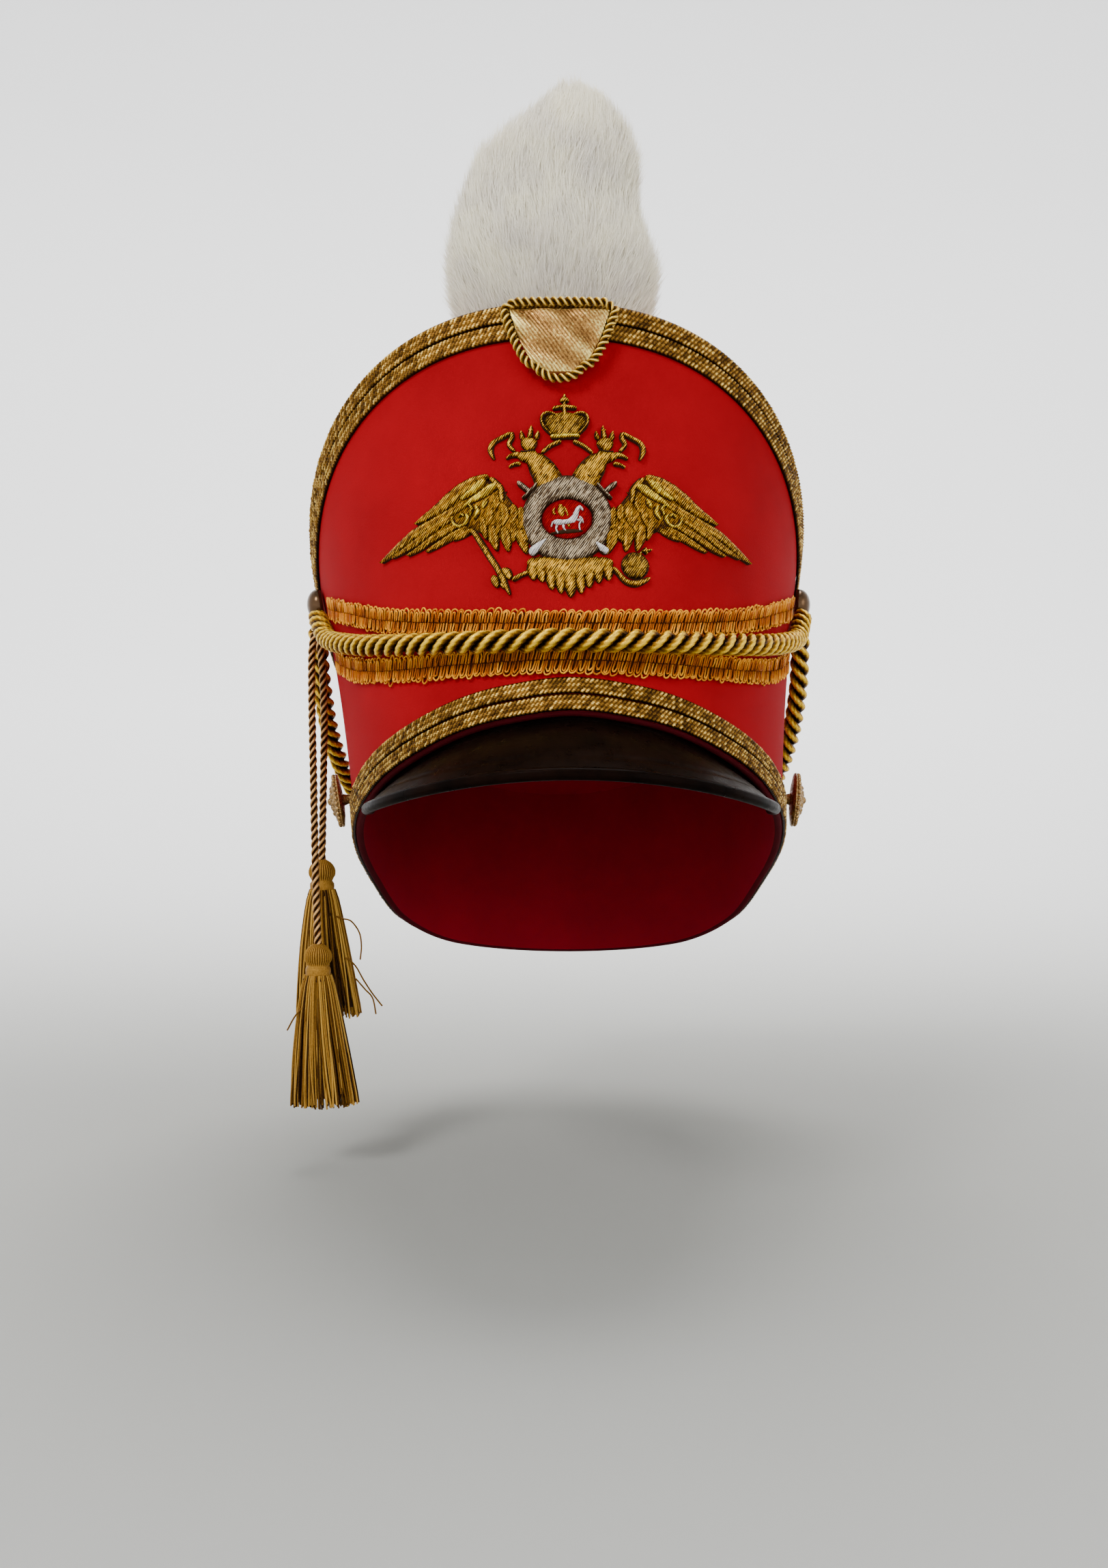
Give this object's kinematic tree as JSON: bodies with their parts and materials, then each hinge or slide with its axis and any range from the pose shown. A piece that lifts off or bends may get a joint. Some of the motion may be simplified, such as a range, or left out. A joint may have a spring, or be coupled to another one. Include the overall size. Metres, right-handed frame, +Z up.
{
  "type": "shako hat",
  "caption": "Tall red cloth shako with a flared crown, sloping rim, arched visor, gold braid and ropes, side tassels, embroidered double-headed eagle and white fur plume.",
  "frame": {"origin": "middle of the head opening at the level of the visor's corners, where the hat sits on a head", "axes": "+Z up, -Y to the front of the hat, +X to the viewer's right when facing the front"},
  "size_m": [0.2153, 0.2737, 0.3874],
  "materials": {
    "red_cloth": "matte felted wool cloth",
    "antique_braid": "woven antique gold metallic braid",
    "patent_leather": "glossy black patent leather",
    "gold_lame": "sparkling gold metallic cloth",
    "bright_gold": "polished gilt brass",
    "white_fur": "soft dense off-white fur",
    "orange_gimp": "looped orange-gold gimp braid",
    "gold_rope": "three-ply twisted gold thread rope",
    "bronze": "dark polished bronze",
    "gold_tassel": "silky old gold tassel thread",
    "gold_thread": "gold metallic embroidery",
    "silver_thread": "dull silver metallic embroidery",
    "red_thread": "dark red satin stitch"
  },
  "bodies": {
    "root": {"crown_wall": "red_cloth", "crown_top": "red_cloth", "top_braid_upper": "antique_braid", "top_braid_lower": "antique_braid", "edge_braid_upper": "antique_braid", "edge_braid_lower": "antique_braid", "visor": "patent_leather", "visor_binding": "patent_leather", "cockade": "gold_lame", "cockade_trim": "bright_gold", "plume": "white_fur", "gimp_upper": "orange_gimp", "gimp_lower": "orange_gimp", "front_cord": "gold_rope", "back_cord": "gold_rope", "boss_left": "bronze", "boss_right": "bronze", "button_left": "bright_gold", "button_right": "bright_gold", "tassel_cord_long": "gold_rope", "tassel_cord_short": "gold_rope", "tassel_front": "gold_tassel", "tassel_back": "gold_tassel", "eagle_wing_left": "gold_thread", "eagle_wing_right": "gold_thread", "eagle_neck_left": "gold_thread", "eagle_neck_right": "gold_thread", "eagle_crown": "gold_thread", "eagle_crown_left": "gold_thread", "eagle_crown_right": "gold_thread", "eagle_ribbon_left": "gold_thread", "eagle_ribbon_right": "gold_thread", "eagle_ring": "silver_thread", "eagle_medallion": "red_thread", "eagle_tail": "gold_thread", "eagle_leg_left": "gold_thread", "eagle_leg_right": "gold_thread", "eagle_sceptre": "gold_thread", "eagle_orb": "gold_thread", "eagle_sword_left": "silver_thread", "eagle_sword_right": "silver_thread"}
  },
  "joints": []
}
